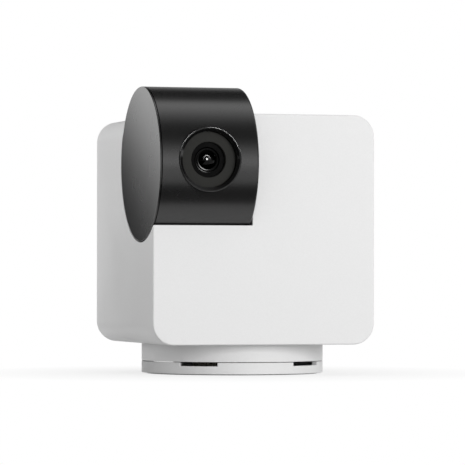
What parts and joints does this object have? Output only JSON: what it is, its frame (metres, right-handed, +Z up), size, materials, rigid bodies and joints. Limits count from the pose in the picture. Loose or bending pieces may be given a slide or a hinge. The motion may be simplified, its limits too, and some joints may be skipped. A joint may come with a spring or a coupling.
{
  "type": "pan and tilt pet camera",
  "caption": "Desk-top pet camera: a white cube body pans on a round foot, and a black drum-shaped camera head tilts in a pocket at its upper front corner.",
  "frame": {"origin": "on the pan axis, in the plane that the non-slip pad stands on, half a millimetre below the mouth of the tripod thread", "axes": "+Z is up along the pan axis, the lens looks along -Y at rest, +X is to the right as seen from the front"},
  "size_m": [0.076, 0.0859, 0.0954],
  "materials": {
    "shell_white": "fine satin moulding",
    "foot_white": "fine satin moulding",
    "head_black": "satin gloss",
    "bezel_black": "gloss",
    "window_black": "infrared-clear, smooth",
    "lens_black": "anodised matt",
    "lens_glass": "coated",
    "pad_rubber": "matt",
    "insert_brass": "machined",
    "gear_white": "natural acetal",
    "steel": "bright zinc",
    "motor_steel": "plated",
    "board_green": "solder mask",
    "shield_tin": "tinned",
    "connector_cream": "moulded",
    "chip_black": "moulded",
    "led_clear": "clear resin",
    "speaker_black": "moulded",
    "speaker_paper": "pressed paper",
    "magnet_grey": "ferrite",
    "grille_grey": "fine satin moulding",
    "button_grey": "satin",
    "foam": "foam",
    "cable_grey": "insulation"
  },
  "bodies": {
    "base": {"foot_shell": "foot_white", "nonslip_pad": "pad_rubber", "tripod_insert": "insert_brass", "pan_gear": "gear_white", "thrust_washer": "gear_white", "spindle_retainer": "steel", "gear_screws": "steel", "retainer_screws": "steel"},
    "camera_body": {"body_shell": "shell_white", "rear_cover": "shell_white", "neck_skirt": "shell_white", "speaker_grille": "grille_grey", "neck_screws": "steel", "cover_screws": "steel", "pan_motor": "motor_steel", "pan_motor_screws": "steel", "tilt_motor": "motor_steel", "tilt_motor_screws": "steel", "tilt_bushing": "gear_white", "main_board": "board_green", "processor_shield": "shield_tin", "board_connectors": "connector_cream", "board_screws": "steel", "antenna_strip": "chip_black", "microphone": "shield_tin", "microphone_boot": "foam", "power_board": "board_green", "power_screws": "steel", "usb_socket": "shield_tin", "reset_switch": "chip_black", "speaker_gasket": "foam", "speaker_basket": "speaker_black", "speaker_cone": "speaker_paper", "speaker_magnet": "magnet_grey", "body_cable": "cable_grey", "motor_leads": "cable_grey", "inner_leads": "cable_grey"},
    "pan_drive": {"pan_shaft": "steel", "pan_pinion": "gear_white"},
    "tilt_drive": {"tilt_shaft": "steel", "tilt_pinion": "gear_white"},
    "reset_key": {"reset_button": "button_grey"},
    "camera_head": {"head_shell": "head_black", "head_end_cap": "head_black", "lens_bezel": "bezel_black", "lens_window": "window_black", "lens_shade": "lens_black", "lens_barrel": "lens_black", "lens_glass": "lens_glass", "lens_holder": "lens_black", "image_sensor": "chip_black", "sensor_board": "board_green", "sensor_screws": "steel", "led_board": "board_green", "infrared_leds": "led_clear", "tilt_gear": "gear_white", "tilt_gear_screws": "steel", "head_cable": "cable_grey"}
  },
  "joints": [
    {"name": "pan", "type": "hinge", "parent": "base", "child": "camera_body", "pos_m": [0, 0, 0.0102], "axis": [0, 0, 1], "range_deg": [-175, 175]},
    {"name": "tilt", "type": "hinge", "parent": "camera_body", "child": "camera_head", "pos_m": [-0.0213, -0.0219, 0.0699], "axis": [-1, 0, 0], "range_deg": [-25, 80]},
    {"name": "pan_pinion_spin", "type": "hinge", "parent": "camera_body", "child": "pan_drive", "pos_m": [-0.01195, -0.01195, 0.006], "axis": [0, 0, 1], "range_deg": [-530, 530]},
    {"name": "tilt_pinion_spin", "type": "hinge", "parent": "camera_body", "child": "tilt_drive", "pos_m": [0.001, -0.01094, 0.05894], "axis": [-1, 0, 0], "range_deg": [-220, 70]},
    {"name": "reset_press", "type": "slide", "parent": "camera_body", "child": "reset_key", "axis": [0, -1, 0], "range_m": [0, 0.0005], "stiffness_N_per_m": 400}
  ],
  "couplings": [
    {"joint": "pan_pinion_spin", "follows": "pan", "ratio": 3},
    {"joint": "tilt_pinion_spin", "follows": "tilt", "ratio": -2.6667}
  ]
}
